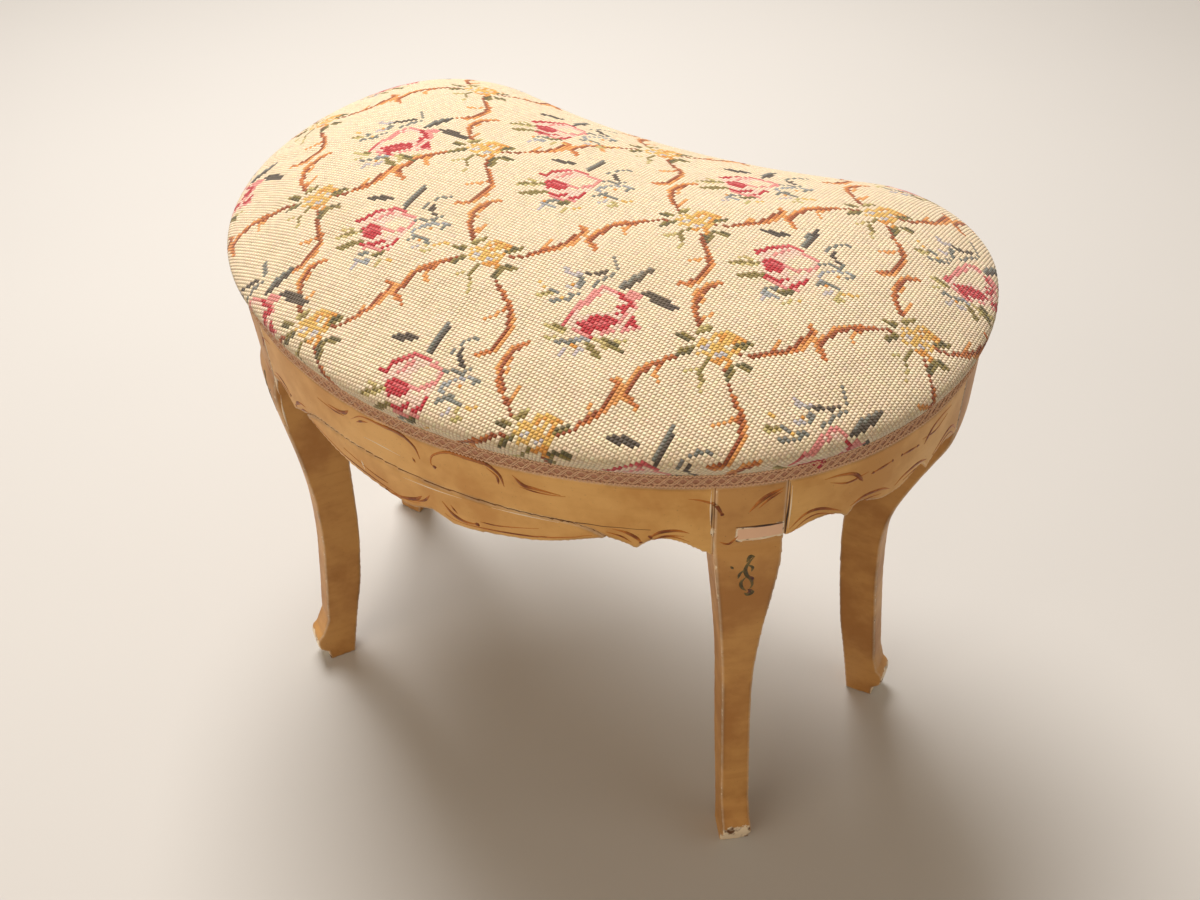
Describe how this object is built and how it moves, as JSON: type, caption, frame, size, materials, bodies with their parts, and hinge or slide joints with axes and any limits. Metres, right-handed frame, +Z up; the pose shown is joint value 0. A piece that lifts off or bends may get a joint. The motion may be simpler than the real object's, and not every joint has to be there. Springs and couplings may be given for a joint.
{
  "type": "stool",
  "caption": "Kidney-shaped painted wooden stool with cabriole legs, a scalloped apron and a domed, needlework-covered seat edged with braid.",
  "frame": {"origin": "on the floor under the middle of the seat", "axes": "+X along the seat to its right end, +Y towards the hollow back, +Z up"},
  "size_m": [0.5116, 0.3362, 0.414],
  "materials": {
    "painted_wood": "aged cream-ochre paint with golden brush strokes, rubbed and flaked at the joints",
    "raw_wood": "bare beech",
    "webbing": "woven jute webbing",
    "tacks": "blued tacks",
    "hessian": "open jute hessian",
    "stuffing": "matted curled hair",
    "wadding": "soft cotton wadding",
    "needlework": "wool tent stitch on canvas, roses in a leafy trellis",
    "braid": "matte woven braid"
  },
  "bodies": {
    "root": {"leg_front_left": "painted_wood", "leg_front_right": "painted_wood", "leg_back_left": "painted_wood", "leg_back_right": "painted_wood", "rail_front": "painted_wood", "rail_front_belly": "painted_wood", "rail_side_left": "painted_wood", "rail_side_right": "painted_wood", "rail_corner_left": "painted_wood", "rail_corner_right": "painted_wood", "rail_lobe_left": "painted_wood", "rail_lobe_right": "painted_wood", "rail_back": "painted_wood", "rail_dowels": "raw_wood", "glue_blocks_front_left": "raw_wood", "glue_blocks_front_right": "raw_wood", "glue_blocks_back_left": "raw_wood", "glue_blocks_back_right": "raw_wood", "webbing_long_front": "webbing", "webbing_long_middle": "webbing", "webbing_long_back": "webbing", "webbing_cross_1": "webbing", "webbing_cross_2": "webbing", "webbing_cross_3": "webbing", "webbing_cross_4": "webbing", "webbing_cross_5": "webbing", "webbing_tacks": "tacks", "hessian": "hessian", "stuffing": "stuffing", "wadding": "wadding", "needlework_cover": "needlework", "gimp_braid": "braid"}
  },
  "joints": []
}
